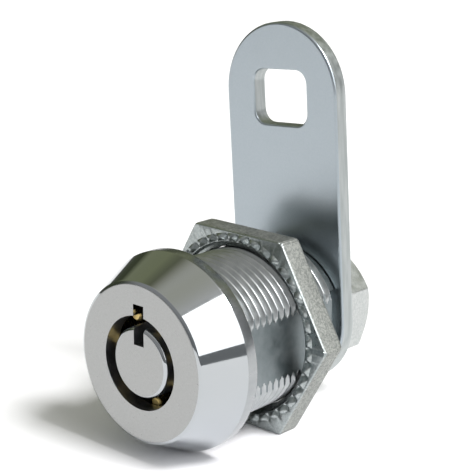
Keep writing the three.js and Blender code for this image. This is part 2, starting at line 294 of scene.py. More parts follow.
def round_points(corners, steps=3):
    """A profile of (radius, y) points from (radius, y, rounding) corners."""
    points = []
    count = len(corners)
    for i, (r, y, size) in enumerate(corners):
        here = np.array([r, y], float)
        if size == 0:
            points.append(tuple(here))
            continue
        before = np.array(corners[i - 1][:2]) - here
        after = np.array(corners[(i + 1) % count][:2]) - here
        start = here + before / np.linalg.norm(before) * size
        end = here + after / np.linalg.norm(after) * size
        for step in range(steps + 1):
            t = step / steps
            points.append(tuple((1 - t) ** 2 * start + 2 * t * (1 - t) * here + t * t * end))
    return points


# One turn of thread: (share of the pitch, share of the depth)
THREAD_FORM = [
    (0.0, 1.0), (0.08, 1.0), (0.17, 0.88), (0.4, 0.16), (0.48, 0.02), (0.54, 0.0), (0.6, 0.02),
    (0.68, 0.16), (0.91, 0.88),
]


def thread_rows(angle, start, end, crest, root, pitch):
    """Right-hand thread points (radius, y) up one side of a column at an angle, clamped to its ends."""
    turns = math.ceil((end - start) / pitch) + 1
    points = []
    for turn in range(turns + 1):
        for share, depth in THREAD_FORM:
            y = start + pitch * (turn + share - angle / 360)
            inside = start < y < end
            radius = crest + (root - crest) * depth if inside else root
            points.append((radius, min(max(y, start), end)))
    return points


def thread_seam(first, count, turns):
    """How rows shift by whole turns where a thread's last column meets its first."""

    def shift(row):
        if first <= row < first + count:
            return min(max(row + turns * len(THREAD_FORM), first), first + count - 1)
        return row

    return shift


def column_points(profile, angle):
    """Points (x, y, z) of one column from (radius, y) pairs."""
    x, z = polar(1, angle)
    return [(r * x, y, r * z) for r, y in profile]


def angles_with(coarse, centres, reach, fine):
    """Angles round a full turn: evenly coarse, and fine within reach of some centres."""
    angles = set(np.round(np.arange(0, 360, coarse), 4))
    for centre in centres:
        angles |= set(np.round(np.arange(centre - reach, centre + reach + fine / 2, fine) % 360, 4))
    return sorted(angles)


def rounded_rectangle_radius(angle, width, height, corner):
    """Distance from the centre of a rounded rectangle to its outline, at an angle."""
    c, s = (abs(v) for v in polar(1, angle))
    right, top = width / 2, height / 2
    if c > 0 and right / c * s <= top - corner:
        return right / c
    if s > 0 and top / s * c <= right - corner:
        return top / s
    cx, cy = right - corner, top - corner
    along = c * cx + s * cy
    return along + math.sqrt(corner**2 - (cx * cx + cy * cy - along**2))


def hexagon_radius(angle, across_flats, turn, corner):
    """Distance to a hexagon's outline at an angle, its first corner at turn, its corners rounded."""
    off_corner = (angle - turn + 30) % 60 - 30
    flat = across_flats / 2 / math.cos(math.radians(30 - abs(off_corner)))
    centre = (across_flats / 2 - corner) / math.cos(math.radians(30))
    across = centre * math.sin(math.radians(abs(off_corner)))
    if across >= corner:
        return flat
    return min(flat, centre * math.cos(math.radians(off_corner)) + math.sqrt(corner**2 - across**2))


def cut(piece, cutter_bm, operation="DIFFERENCE"):
    """Cuts or joins a bmesh body, in millimetres, with a piece, and drops the cutter."""
    cutter = finish_mesh("cutter", cutter_bm)
    modifier = piece.modifiers.new("cut", "BOOLEAN")
    modifier.operation, modifier.solver, modifier.object = operation, "MANIFOLD", cutter
    evaluated = piece.evaluated_get(bpy.context.evaluated_depsgraph_get())
    mesh = bpy.data.meshes.new_from_object(evaluated)
    old = piece.data
    piece.modifiers.clear()
    piece.data = mesh
    bpy.data.meshes.remove(old)
    bpy.data.objects.remove(cutter)
    mesh.shade_smooth()
    mesh.set_sharp_from_angle(angle=math.radians(SHARP_ANGLE))


def join_rings(bm, rings):
    """Four-sided faces between each closed ring of vertices and the next."""
    for here, there in zip(rings, rings[1:]):
        for k in range(len(here)):
            m = (k + 1) % len(here)
            bm.faces.new((here[k], here[m], there[m], there[k]))


def bar_bm(radius, start, end, place=(0, 0), sides=32):
    """A round bar along Y as a bmesh."""
    bm = bmesh.new()
    rings = []
    for y in (start, end):
        ring = []
        for i in range(sides):
            x, z = polar(radius, 360 * i / sides)
            ring.append(bm.verts.new((place[0] + x, y, place[1] + z)))
        rings.append(ring)
    join_rings(bm, rings)
    for ring in rings:
        bm.faces.new(ring)
    return bm


def block_bm(low, high):
    """A box as a bmesh, from its lowest and highest corners."""
    bm = bmesh.new()
    bmesh.ops.create_cube(bm, size=1)
    for v in bm.verts:
        v.co = Vector([(a + b) / 2 + c * (b - a) for a, b, c in zip(low, high, v.co)])
    return bm


def point_out(bm, angle, y):
    """Turns a bmesh that lies along Y so that it points out from the axis."""
    turn = Matrix.Rotation(math.radians(-angle), 4, "Y") @ Matrix.Rotation(math.radians(-90), 4, "Z")
    bmesh.ops.transform(bm, matrix=Matrix.Translation((0, y, 0)) @ turn, verts=bm.verts)


def pin_angle(i):
    """The middle angle of a pin stack, counted clockwise from the key notch."""
    return 90 + PIN_TURN - (i + 0.5) * 360 / PIN_COUNT


CROSS_PIN_ANGLE = pin_angle(PIN_COUNT - 2) + 180 / PIN_COUNT


# ---------------------------------------------------------------- housing


def housing_grid():
    """Head, lip and threaded double-D body as a grid; returns it with the thread's seam."""
    lip_end = HEAD_FRONT + LIP_DEPTH
    head = round_points([
        (KEYWAY_R, HEAD_FRONT, KEYWAY_EDGE),
        (FACE_R, HEAD_FRONT, FACE_EDGE),
        (FACE_CHAMFER_R, HEAD_FRONT + FACE_CHAMFER_DEPTH, FACE_EDGE),
        (RIM_R, -RIM_BAND, RIM_EDGES[0]),
        (RIM_R, 0, RIM_EDGES[1]),
        (THREAD_ROOT_R, 0, 0),
    ])[:-1]
    head = [point for point in head if point[0] >= KEYWAY_R]
    bore = [
        (BORE_R, BODY_END), (BORE_R, CHAMBER_END), (CHAMBER_R, CHAMBER_END),
        (CHAMBER_R, lip_end), (KEYWAY_R, lip_end),
    ]
    flat_edges = [side + off for side in (0, 180) for off in (-FLAT_EDGE_ANGLE, FLAT_EDGE_ANGLE)]
    grid = []
    thread_count = 0
    for angle in angles_with(coarse=1.5, centres=flat_edges, reach=6, fine=0.375):
        body = [(THREAD_ROOT_R, 0), (THREAD_ROOT_R, THREAD_START)]
        threads = thread_rows(angle, THREAD_START, BODY_END, THREAD_R, THREAD_ROOT_R, THREAD_PITCH)
        thread_count = len(threads)
        limit = THREAD_R - BODY_END_CHAMFER
        body += [(min(r, limit + BODY_END - y), y) for r, y in threads]
        points = column_points(head, angle)
        for x, y, z in column_points(body, angle):
            points.append((max(-FLAT_HALF, min(FLAT_HALF, x)), y, z))
        grid.append(points + column_points(bore, angle))
    return grid, thread_seam(len(head) + 2, thread_count, -1)


def ring_sector_bm(inner, outer, angles, start, end, steps=16):
    """Part of a ring between two radii and two angles as a bmesh."""
    bm = bmesh.new()
    stations = []
    for i in range(steps + 1):
        angle = angles[0] + (angles[1] - angles[0]) * i / steps
        (ax, az), (bx, bz) = polar(inner, angle), polar(outer, angle)
        corners = ((ax, start, az), (bx, start, bz), (bx, end, bz), (ax, end, az))
        stations.append([bm.verts.new(corner) for corner in corners])
    join_rings(bm, stations)
    bm.faces.new(stations[0])
    bm.faces.new(stations[-1])
    return bm


def make_housing():
    """Head and body in one, with the key notch, the cross pin's hole and the stop lug."""
    grid, seam = housing_grid()
    piece = finish_mesh("housing_shell", skin(grid, seam=seam))
    lip_end = HEAD_FRONT + LIP_DEPTH + LIP_OVERCUT
    cut(piece, block_bm(
        (-NOTCH_HALF, HEAD_FRONT - OVERCUT, KEYWAY_R - OVERCUT), (NOTCH_HALF, lip_end, NOTCH_TOP_R),
    ))
    hole = bar_bm(CROSS_PIN_HOLE_R, CROSS_PIN_HOLE_START, THREAD_R + OVERCUT, sides=24)
    point_out(hole, CROSS_PIN_ANGLE, CROSS_PIN_Y)
    cut(piece, hole)
    lug = ring_sector_bm(LUG_INNER_R, STOP_R, LUG_ANGLES, BODY_END - OVERCUT, LUG_END)
    cut(piece, lug, "UNION")
    return piece


# Where one finish gives way to the next: distances in millimetres, and shares of a face's unit normal
FACE_MARGIN = 0.03
SEAT_MARGIN = 0.02
LIP_MARGIN = 0.1
FACING_FRONT = 0.9
FACING_SIDE = 0.999


def paint_housing(piece):
    """Mirror cone, satin face, dull thread and bore, buffed rim and flats darkened as painted shade,
    each by its place.
    """
    mesh = piece.data
    mesh.materials.clear()
    for material in (bright_chrome(), satin_chrome(), dull_chrome(), rim_chrome(), flat_chrome_painted_shade()):
        mesh.materials.append(material)
    cone, front_face, body, rim, flats = range(5)
    for face in mesh.polygons:
        x, y, z = np.array(face.center) / MM
        on_body = y > -SEAT_MARGIN
        if y < HEAD_FRONT + FACE_MARGIN and face.normal.y < -FACING_FRONT:
            face.material_index = front_face
        elif on_body and abs(face.normal.x) > FACING_SIDE:
            face.material_index = flats
        elif on_body or math.hypot(x, z) < KEYWAY_R + LIP_MARGIN:
            face.material_index = body
        elif y > -RIM_BAND:
            face.material_index = rim
        else:
            face.material_index = cone


# ---------------------------------------------------------------- sleeve pin, springs and pins


def turned_bm(profile, place=(0, 0), sides=32):
    """A body of revolution about a line along Y through (x, z) as a bmesh."""
    grid = [column_points(profile, 360 * i / sides) for i in range(sides)]
    bm = skin(grid, closed=profile[0][0] != 0)
    bmesh.ops.translate(bm, vec=(place[0], 0, place[1]), verts=bm.verts)
    return bm


def make_sleeve_pin():
    """The cross pin, with a domed outer end."""
    inner, outer = CROSS_PIN_REACH
    profile = round_points([
        (0, inner, 0), (CROSS_PIN_R, inner, CROSS_PIN_EDGE),
        (CROSS_PIN_R, outer - CROSS_PIN_DOME, CROSS_PIN_EDGE), (0, outer, 0),
    ])
    bm = turned_bm(profile)
    point_out(bm, CROSS_PIN_ANGLE, CROSS_PIN_Y)
    return finish_mesh("sleeve_pin_steel", bm)


def make_pin(kind, i):
    """A key pin with a rounded nose, or a driver pin, in its CAD node's place."""
    low, high = box_mm(f"{kind}_pin_{i + 1}")
    front, rear = low[1], high[1]
    nose = PIN_NOSES[kind]
    profile = round_points([
        (0, front, 0), (PIN_R - nose, front, PIN_EDGE), (PIN_R, front + nose, PIN_EDGE),
        (PIN_R, rear, PIN_EDGE), (0, rear, 0),
    ])
    bm = turned_bm(profile, polar(PIN_CIRCLE_R, pin_angle(i)))
    return finish_mesh(f"{kind}_pin_turned_{i + 1}", bm)


def make_spring(i, steps_per_turn=24, sides=8):
    """A round-wire coil whose turns close up at its ends, in its CAD node's place."""
    low, high = box_mm(f"pin_spring_{i + 1}")
    start, end = low[1] + SPRING_WIRE_R, high[1] - SPRING_WIRE_R
    cx, cz = polar(PIN_CIRCLE_R, pin_angle(i))
    steps = SPRING_TURNS * steps_per_turn
    centres = []
    for n in range(steps + 1):
        t = n / steps
        eased = t - math.sin(4 * math.pi * t) / (4 * math.pi) * SPRING_CLOSING
        x, z = polar(SPRING_R, 360 * SPRING_TURNS * t)
        centres.append(Vector((cx + x, start + (end - start) * eased, cz + z)))
    bm = bmesh.new()
    rings = []
    for n, centre in enumerate(centres):
        along = (centres[min(n + 1, steps)] - centres[max(n - 1, 0)]).normalized()
        out = Vector((centre.x - cx, 0, centre.z - cz)).normalized()
        up = along.cross(out).normalized()
        ring = []
        for k in range(sides):
            a, b = polar(SPRING_WIRE_R, 360 * k / sides)
            ring.append(bm.verts.new(centre + out * a + up * b))
        rings.append(ring)
    join_rings(bm, rings)
    bm.faces.new(rings[0])
    bm.faces.new(rings[-1])
    return finish_mesh(f"pin_spring_coil_{i + 1}", bm, sharp=50)


def shorten_spring(piece):
    """Gives the coil a mesh of its own."""
    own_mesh(piece)


# ---------------------------------------------------------------- mounting nut


# The most that a nut's side leans, as a share of its unit normal
SIDE_LEAN = 0.1


def paint_nut(piece):
    """Glossy plating, darkened as painted shade, on the toothed face; rougher and speckled round the six
    flats.
    """
    for material in (nut_face_painted_shade_zinc(), nut_side_zinc()):
        piece.data.materials.append(material)
    for face in piece.data.polygons:
        outside = math.hypot(face.center.x, face.center.z) > TOOTH_OUTER_R * MM
        if outside and abs(face.normal.y) < SIDE_LEAN:
            face.material_index = 1


def tooth_share(angle):
    """A rounded, slightly uneven tooth's height at an angle, from 0 between teeth to 1."""
    place = angle * NUT_TEETH / 360
    number, phase = int(place), place % 1
    uneven = 1 - TOOTH_UNEVENNESS + TOOTH_UNEVENNESS * math.sin(TOOTH_RHYTHM * number)
    return uneven * max(0.0, math.sin(math.pi * phase) - TOOTH_GAP_SHARE) / (1 - TOOTH_GAP_SHARE)


def make_mounting_nut(steps_per_tooth=12, steps_along_tooth=8):
    """Hexagon nut: chamfered corners, threaded bore and a ring of radial teeth on its front."""
    crest, rear = NUT_LOW[1], NUT_HIGH[1]
    flats = NUT_HIGH[2] - NUT_LOW[2]
    corners = [60 * k for k in range(6)]
    thread_start = NUT_FACE + NUT_COUNTERSINK_R - NUT_BORE_ROOT_R + NUT_THREAD_LEADS[0]
    thread_end = rear - NUT_THREAD_LEADS[1]
    edge_in, edge_down = NUT_EDGE
    turns = [math.radians(turn) for turn in NUT_EDGE_TURNS]
    sink_in, sink_down = NUT_COUNTERSINK_EDGE
    grid = []
    thread_count = 0
    lead = 0
    tooth_angle = 360 / NUT_TEETH
    for angle in angles_with(coarse=tooth_angle / steps_per_tooth, centres=corners, reach=1.2, fine=0.2):
        height = (NUT_FACE - crest) * tooth_share(angle)
        gap = TOOTH_GAP_DEPTH * (1 - tooth_share(angle))
        ring = [(NUT_COUNTERSINK_R, NUT_FACE + sink_down), (NUT_COUNTERSINK_R + sink_in, NUT_FACE)]
        for step in range(steps_along_tooth + 1):
            radius = TOOTH_INNER_R + (TOOTH_OUTER_R - TOOTH_INNER_R) * step / steps_along_tooth
            swell = math.sin(math.pi * step / steps_along_tooth) ** TOOTH_BLUNTNESS
            ring.append((radius, NUT_FACE + swell * (gap - height)))
        outline = hexagon_radius(angle, flats, 0, NUT_CORNER)
        face_r = min(outline - edge_in, NUT_CHAMFER_R)
        drop = max(0.0, outline - NUT_CHAMFER_R) * NUT_CHAMFER_SLOPE
        rounding = [
            (outline - edge_in * (1 - math.sin(t)), drop + edge_down * (1 - math.cos(t))) for t in turns
        ]
        sides = [(face_r, NUT_FACE)] + [(r, NUT_FACE + d) for r, d in rounding]
        sides += [(r, rear - d) for r, d in reversed(rounding)]
        sides += [(face_r, rear), (NUT_BORE_ROOT_R + NUT_REAR_COUNTERSINK, rear)]
        threads = thread_rows(
            angle, thread_start, thread_end, NUT_BORE_CREST_R, NUT_BORE_ROOT_R, THREAD_PITCH,
        )
        lead = len(ring) + len(sides)
        thread_count = len(threads)
        grid.append(column_points(ring + sides + threads[::-1], angle))
    seam = thread_seam(lead, thread_count, 1)
    return finish_mesh("mounting_nut_toothed", skin(grid, seam=seam), sharp=30)


# ---------------------------------------------------------------- spindle and what it carries


def make_spindle():
    """Post, flange, shank and threaded double-D tail."""
    tail_end = SPINDLE_HIGH[1]
    front = round_points([
        (0, HEAD_FRONT, 0), (POST_R - POST_CHAMFER, HEAD_FRONT, POST_EDGE),
        (POST_R, HEAD_FRONT + POST_CHAMFER, POST_EDGE), (POST_R, FLANGE_FRONT, 0),
        (FLANGE_R, FLANGE_FRONT, FLANGE_EDGES[0]), (FLANGE_R, SHEAR_LINE, FLANGE_EDGES[1]),
        (SHANK_R, SHEAR_LINE, 0), (SHANK_R, SHANK_END, 0),
    ])
    edge_offsets = (-TAIL_FLAT_EDGE_ANGLE, TAIL_FLAT_EDGE_ANGLE)
    flat_edges = [side + off for side in (90, 270) for off in edge_offsets]
    grid = []
    thread_count = 0
    for angle in angles_with(coarse=3, centres=flat_edges, reach=10, fine=0.75):
        threads = thread_rows(angle, TAIL_THREAD_START, tail_end, SHANK_R, TAIL_ROOT_R, TAIL_PITCH)
        thread_count = len(threads)
        limit = SHANK_R - TAIL_CHAMFER
        tail = [
            (SHANK_R, SHANK_END), (SHANK_R, TAIL_THREAD_START - TAIL_THREAD_LEAD),
            (TAIL_ROOT_R, TAIL_THREAD_START),
        ]
        tail += [(min(r, limit + tail_end - y), y) for r, y in threads]
        points = column_points(front, angle)
        for x, y, z in column_points(tail, angle):
            points.append((x, y, max(-TAIL_FLAT_HALF, min(TAIL_FLAT_HALF, z))))
        points += column_points([(TAIL_FLAT_HALF - TAIL_END_INSET, tail_end)], angle)
        grid.append(points + [(0, tail_end, 0)])
    seam = thread_seam(len(front) + 3, thread_count, -1)
    piece = finish_mesh("spindle_turned", skin(grid, closed=False, seam=seam))
    hole_ends = (FLANGE_FRONT - OVERCUT, SHEAR_LINE + OVERCUT)
    for i in range(PIN_COUNT):
        cut(piece, bar_bm(PIN_HOLE_R, *hole_ends, polar(PIN_CIRCLE_R, pin_angle(i)), sides=24))
    notch_end = HEAD_FRONT + POST_NOTCH_DEPTH
    cut(piece, block_bm(
        (-POST_NOTCH_HALF, HEAD_FRONT - OVERCUT, POST_NOTCH_BOTTOM_R),
        (POST_NOTCH_HALF, notch_end, POST_R + OVERCUT),
    ))
    return piece


# Where the post's chamfer ends, in millimetres, and how squarely its front face looks forwards
CHAMFER_MARGIN = 0.05
POST_FACING_FRONT = 0.98


def paint_spindle(piece):
    """Satin front face like the head's with a bright chamfer, duller plating behind them."""
    mesh = piece.data
    mesh.materials.clear()
    for material in (dull_chrome(), satin_chrome(), bright_chrome()):
        mesh.materials.append(material)
    front_face, chamfer = 1, 2
    for face in mesh.polygons:
        if face.center.y / MM < HEAD_FRONT + POST_CHAMFER + CHAMFER_MARGIN:
            face.material_index = front_face if face.normal.y < -POST_FACING_FRONT else chamfer


def washer_skin(name, angles, inner_at, outer_at, front, rear, edge, lift=None):
    """A flat ring between two polar outlines, its edges rounded."""
    grid = []
    for angle in angles:
        inner, outer = inner_at(angle), outer_at(angle)
        profile = round_points([
            (inner, front, edge), (outer, front, edge), (outer, rear, edge), (inner, rear, edge),
        ], steps=2)
        if lift:
            profile = [(r, y + lift(angle, r)) for r, y in profile]
        grid.append(column_points(profile, angle))
    return finish_mesh(name, skin(grid), sharp=40)


def make_stop_washer():
    """Thick washer on the spindle's flats, with the gap that gives a quarter turn."""
    first, last = STOP_SECTOR

    def outer(angle):
        return STOP_R if first <= angle <= last else STOP_HUB_R

    angles = angles_with(coarse=2, centres=[first, last], reach=0.4, fine=0.2)
    return washer_skin(
        "stop_washer_pressed", angles, lambda angle: rounded_rectangle_radius(angle, *CAM_HOLE), outer,
        STOP_LOW[1], STOP_HIGH[1], STOP_EDGE,
    )


def make_lock_washer():
    """External-tooth lock washer with twisted teeth."""
    step = 360 / WASHER_TEETH

    def outer(angle):
        share = (angle / step) % 1
        fall = max(0, (WASHER_TOOTH_SHARE - share) / WASHER_FLANK_SHARE)
        rise = min(1, share / WASHER_FLANK_SHARE, fall)
        return WASHER_ROOT_R + (WASHER_R - WASHER_ROOT_R) * rise

    def twist(angle, radius):
        share = (angle / step) % 1
        if share > WASHER_TOOTH_SHARE or radius < WASHER_ROOT_R:
            return 0
        across = (share / WASHER_TOOTH_SHARE - 0.5) * 2
        return WASHER_TWIST * across * (radius - WASHER_ROOT_R) / (WASHER_R - WASHER_ROOT_R)

    front, rear = WASHER_LOW[1] + WASHER_ROOM, WASHER_HIGH[1] - WASHER_ROOM
    angles = angles_with(coarse=1.5, centres=[], reach=0, fine=1)
    return washer_skin(
        "lock_washer_toothed", angles, lambda angle: TAIL_CLEARANCE_R, outer, front, rear,
        WASHER_EDGE, twist,
    )


def make_cam_nut():
    """Hexagon nut with a plain bore, its corners chamfered at its rear."""
    front, rear = CAM_NUT_LOW[1], CAM_NUT_HIGH[1]
    corners = [CAM_NUT_TURN + 60 * k for k in range(6)]
    grid = []
    for angle in angles_with(coarse=2, centres=corners, reach=2, fine=0.4):
        outline = hexagon_radius(angle, CAM_NUT_FLATS, CAM_NUT_TURN, CAM_NUT_CORNER)
        drop = (outline - CAM_NUT_CHAMFER_R) * CAM_NUT_CHAMFER_SLOPE
        profile = round_points([
            (TAIL_CLEARANCE_R, front, CAM_NUT_BORE_EDGES[0]), (outline, front, CAM_NUT_EDGE),
            (outline, rear - drop, CAM_NUT_EDGE), (CAM_NUT_CHAMFER_R, rear, CAM_NUT_CHAMFER_EDGE),
            (TAIL_CLEARANCE_R, rear, CAM_NUT_BORE_EDGES[1]),
        ])
        grid.append(column_points(profile, angle))
    return finish_mesh("cam_nut_hexagon", skin(grid), sharp=30)


def stadium(inset, steps=48):
    """The cam's outline, inset from its edge: two half circles joined by straight sides."""
    radius = CAM_HALF_WIDTH - inset
    points = []
    for i in range(steps + 1):
        x, z = polar(radius, 180 * i / steps)
        points.append((x, CAM_TIP_Z + z))
    for i in range(steps + 1):
        x, z = polar(radius, 180 + 180 * i / steps)
        points.append((x, CAM_FOOT_Z + z))
    return points


def cam_hole(centre, outset, steps=8):
    """A cam hole's outline, opened out by some amount."""
    width, height, corner = CAM_HOLE
    right, top, radius = width / 2 - corner, height / 2 - corner, corner + outset
    points = []
    for quarter, (sx, sz) in enumerate(((1, 1), (-1, 1), (-1, -1), (1, -1))):
        for i in range(steps + 1):
            x, z = polar(radius, 90 * quarter + 90 * i / steps)
            points.append((sx * right + x, centre + sz * top + z))
    return points


def make_cam():
    """Flat bar with rounded edges round its outline and both holes, leaned as the CAD cam is."""
    front, rear = CAM_LOW[1], CAM_HIGH[1]
    bm = bmesh.new()
    outlines = [
        (stadium, CAM_EDGE),
        (lambda outset: cam_hole(0, outset), HOLE_EDGE),
        (lambda outset: cam_hole(CAM_TIP_HOLE_Z, outset), HOLE_EDGE),
    ]
    turns = [math.radians(turn) for turn in range(0, 91, 15)]
    caps = {"front": [], "rear": []}
    for outline, edge in outlines:
        levels = [(edge * (1 - math.sin(a)), front + edge * (1 - math.cos(a))) for a in turns]
        levels += [(edge * (1 - math.sin(a)), rear - edge * (1 - math.cos(a))) for a in reversed(turns)]
        rings = [[bm.verts.new((x, y, z)) for x, z in outline(inset)] for inset, y in levels]
        join_rings(bm, rings)
        for side, ring in (("front", rings[0]), ("rear", rings[-1])):
            caps[side] += [bm.edges.get(ends) for ends in zip(ring, ring[1:] + ring[:1])]
    for edges in caps.values():
        bmesh.ops.triangle_fill(bm, use_beauty=True, use_dissolve=False, edges=edges)
    bmesh.ops.transform(bm, matrix=Matrix.Rotation(math.radians(-CAM_LEAN), 4, "Y"), verts=bm.verts)
    return finish_mesh("cam_bar", bm, sharp=25)


# The most that a stamped wall leans, as a share of its unit normal
WALL_LEAN = 0.3


def paint_cam(piece):
    """Smooth plated faces and rounded edges, rougher walls where the bar and its holes were stamped."""
    for material in (cam_zinc(), stamped_zinc()):
        piece.data.materials.append(material)
    for face in piece.data.polygons:
        if abs(face.normal.y) < WALL_LEAN:
            face.material_index = 1


# ---------------------------------------------------------------- materials


class Nodes:
    """A short way to add and join shader nodes in one material."""

    def __init__(self, name):
        self.material = bpy.data.materials.new(name)
        self.material.use_nodes = True
        self.tree = self.material.node_tree
        self.shader = self.tree.nodes["Principled BSDF"]

    def add(self, kind, inputs=(), **settings):
        """A node with its settings and its inputs, each a value or a socket to join."""
        node = self.tree.nodes.new(kind)
        for key, value in settings.items():
            setattr(node, key, value)
        for key, value in dict(inputs).items():
            if isinstance(value, bpy.types.NodeSocket):
                self.tree.links.new(value, node.inputs[key])
            else:
                node.inputs[key].default_value = value
        return node

    def coordinates(self, scale):
        """Object coordinates stretched by (x, y, z) factors."""
        place = self.add("ShaderNodeTexCoord").outputs["Object"]
        return self.add("ShaderNodeMapping", {"Vector": place, "Scale": scale}).outputs["Vector"]

    def noise(self, scale, detail=4, stretch=(1, 1, 1), roughness=0.5):
        """Noise with about that many features to a metre."""
        node = self.add("ShaderNodeTexNoise", {
            "Vector": self.coordinates(stretch), "Scale": scale, "Detail": detail,
            "Roughness": roughness,
        })
        return node.outputs["Fac"]

    def ramp(self, value, low, high, to_low, to_high):
        """A value from low to high stretched to run from to_low to to_high."""
        node = self.add("ShaderNodeMapRange", {
            "Value": value, "From Min": low, "From Max": high, "To Min": to_low, "To Max": to_high,
        })
        return node.outputs["Result"]

    def colours(self, value, first, second):
        """A colour from first, where the value is 0, to second, where it is 1."""
        node = self.add("ShaderNodeMix", data_type="RGBA")
        self.tree.links.new(value, node.inputs["Factor"])
        node.inputs["A"].default_value = (*first, 1)
        node.inputs["B"].default_value = (*second, 1)
        return node.outputs["Result"]

    def bump(self, height, distance, strength):
        """A normal that rises and falls with a height, by up to a distance in metres."""
        inputs = {"Height": height, "Distance": distance, "Strength": strength}
        return self.add("ShaderNodeBump", inputs).outputs["Normal"]

    def wire(self, **sockets):
        """Sets or joins the shader's own sockets and returns the material."""
        for key, value in sockets.items():
            name = key.replace("_", " ")
            if isinstance(value, bpy.types.NodeSocket):
                self.tree.links.new(value, self.shader.inputs[name])
            else:
                self.shader.inputs[name].default_value = value
        return self.material


@cache
def bright_chrome():
    """Mirror plating: almost no roughness, faint orange peel and fine polishing haze."""
    n = Nodes("bright_chrome")
    haze = n.ramp(n.noise(900, 3), 0.3, 0.75, 0.05, 0.08)
    colour = n.colours(n.noise(120, 2), (0.465, 0.49, 0.51), (0.495, 0.515, 0.53))
    peel = n.bump(n.noise(260, 0), 0.00002, 0.03)
    return n.wire(Base_Color=colour, Metallic=1.0, Roughness=haze, Normal=peel)


@cache
def rim_chrome():
    """The head's rim band: plating darker than the cone's, and buffed less."""
    n = Nodes("rim_chrome")
    buffing = n.noise(1600, 3, stretch=(1, 0.3, 1))
    colour = n.colours(n.ramp(buffing, 0.35, 0.65, 0, 1), (0.37, 0.385, 0.395), (0.41, 0.425, 0.435))
    return n.wire(Base_Color=colour, Metallic=1.0, Roughness=n.ramp(buffing, 0.3, 0.7, 0.2, 0.28))


@cache
def satin_chrome():
    """Plated face with a soft lapped finish."""
    n = Nodes("satin_chrome")
    grain = n.noise(4200, 2)
    rough = n.ramp(grain, 0.3, 0.7, 0.27, 0.33)
    colour = n.colours(n.ramp(grain, 0.35, 0.65, 0, 1), (0.38, 0.385, 0.382), (0.41, 0.415, 0.412))
    return n.wire(Base_Color=colour, Metallic=1.0, Roughness=rough, Normal=n.bump(grain, 0.000004, 0.3))


@cache
def cast_plate(name, first, second, rough):
    """Thin grey plating over a cast surface: mottled colour and gloss."""
    n = Nodes(name)
    mottle = n.noise(900, 4)
    roughness = n.ramp(mottle, 0.3, 0.7, rough[0], rough[1])
    colour = n.colours(n.ramp(mottle, 0.35, 0.65, 0, 1), first, second)
    grain = n.bump(n.noise(3600, 2), 0.00001, 0.3)
    return n.wire(Base_Color=colour, Metallic=1.0, Roughness=roughness, Normal=grain)


def dull_chrome():
    """The thread's plating."""
    return cast_plate("dull_chrome", (0.42, 0.44, 0.445), (0.50, 0.515, 0.52), (0.3, 0.42))


def flat_chrome_painted_shade():
    """The body's two flats: the thread's plating darkened as painted shade for the dark nut and gap that
    they reflect.
    """
    return cast_plate("flat_chrome_painted_shade", (0.20, 0.23, 0.24), (0.25, 0.28, 0.29), (0.34, 0.46))


@cache
def zinc_plate(name, base, speckle, rough, grain):
    """Clear zinc plate: speckled colour, uneven gloss and a fine crystalline grain."""
    n = Nodes(name)
    fine = n.noise(3800, 3, roughness=0.6)
    colour = n.colours(n.ramp(fine, 0.38, 0.62, 0, 1), base, speckle)
    roughness = n.ramp(n.noise(900, 3), 0.32, 0.68, rough[0], rough[1])
    crystals = n.bump(fine, 0.00001, grain)
    return n.wire(Base_Color=colour, Metallic=1.0, Roughness=roughness, Normal=crystals)


def nut_face_painted_shade_zinc():
    """The mounting nut's toothed face and rear: plating darkened and tinted blue as painted shade for
    the head's back and shadow that the toothed face reflects.
    """
    return zinc_plate("nut_face_painted_shade_zinc", (0.32, 0.355, 0.355), (0.44, 0.47, 0.465), (0.26, 0.38), 0.5)


def nut_side_zinc():
    """The mounting nut's six flats."""
    return zinc_plate("nut_side_zinc", (0.25, 0.262, 0.25), (0.43, 0.44, 0.415), (0.5, 0.64), 0.8)


def cam_zinc():
    """The cam's smooth faces."""
    return zinc_plate("cam_zinc", (0.39, 0.44, 0.475), (0.41, 0.455, 0.49), (0.28, 0.30), 0.02)


@cache
def stamped_zinc():
    """Zinc over a sheared wall: fine lines along it and a duller, uneven gloss."""
    n = Nodes("stamped_zinc")
    lines = n.noise(2200, 3, stretch=(1, 1, 0.06))
    colour = n.colours(n.ramp(lines, 0.35, 0.65, 0, 1), (0.38, 0.41, 0.41), (0.50, 0.525, 0.525))
    rough = n.ramp(lines, 0.3, 0.7, 0.36, 0.5)
    return n.wire(Base_Color=colour, Metallic=1.0, Roughness=rough, Normal=n.bump(lines, 0.00003, 0.4))


def stop_washer_painted_shade_zinc():
    """The stop washer: plating darkened as painted shade for the shadowed gap between the body and the
    cam.
    """
    return zinc_plate("stop_washer_painted_shade_zinc", (0.24, 0.275, 0.275), (0.31, 0.34, 0.34), (0.28, 0.38), 0.3)


def steel_zinc():
    """The cam's nut, the lock washer, the driver pins and the cross pin."""
    return zinc_plate("steel_zinc", (0.50, 0.525, 0.52), (0.60, 0.615, 0.61), (0.36, 0.48), 0.25)


@cache
def turned_brass():
    """Brass with fine tool marks round each pin."""
    n = Nodes("turned_brass")
    marks = n.noise(1500, 3, stretch=(0.2, 4, 0.2))
    colour = n.colours(n.noise(500, 4), (0.62, 0.44, 0.15), (0.78, 0.60, 0.27))
    rough = n.ramp(marks, 0.3, 0.7, 0.2, 0.34)
    return n.wire(Base_Color=colour, Metallic=1.0, Roughness=rough, Normal=n.bump(marks, 0.00001, 0.5))


@cache
def spring_wire():
    """Drawn wire with a light oil tone."""
    n = Nodes("spring_wire")
    colour = n.colours(n.noise(2500, 4), (0.40, 0.41, 0.42), (0.55, 0.56, 0.57))
    rough = n.ramp(n.noise(3000, 4), 0.3, 0.7, 0.25, 0.4)
    return n.wire(Base_Color=colour, Metallic=1.0, Roughness=rough)


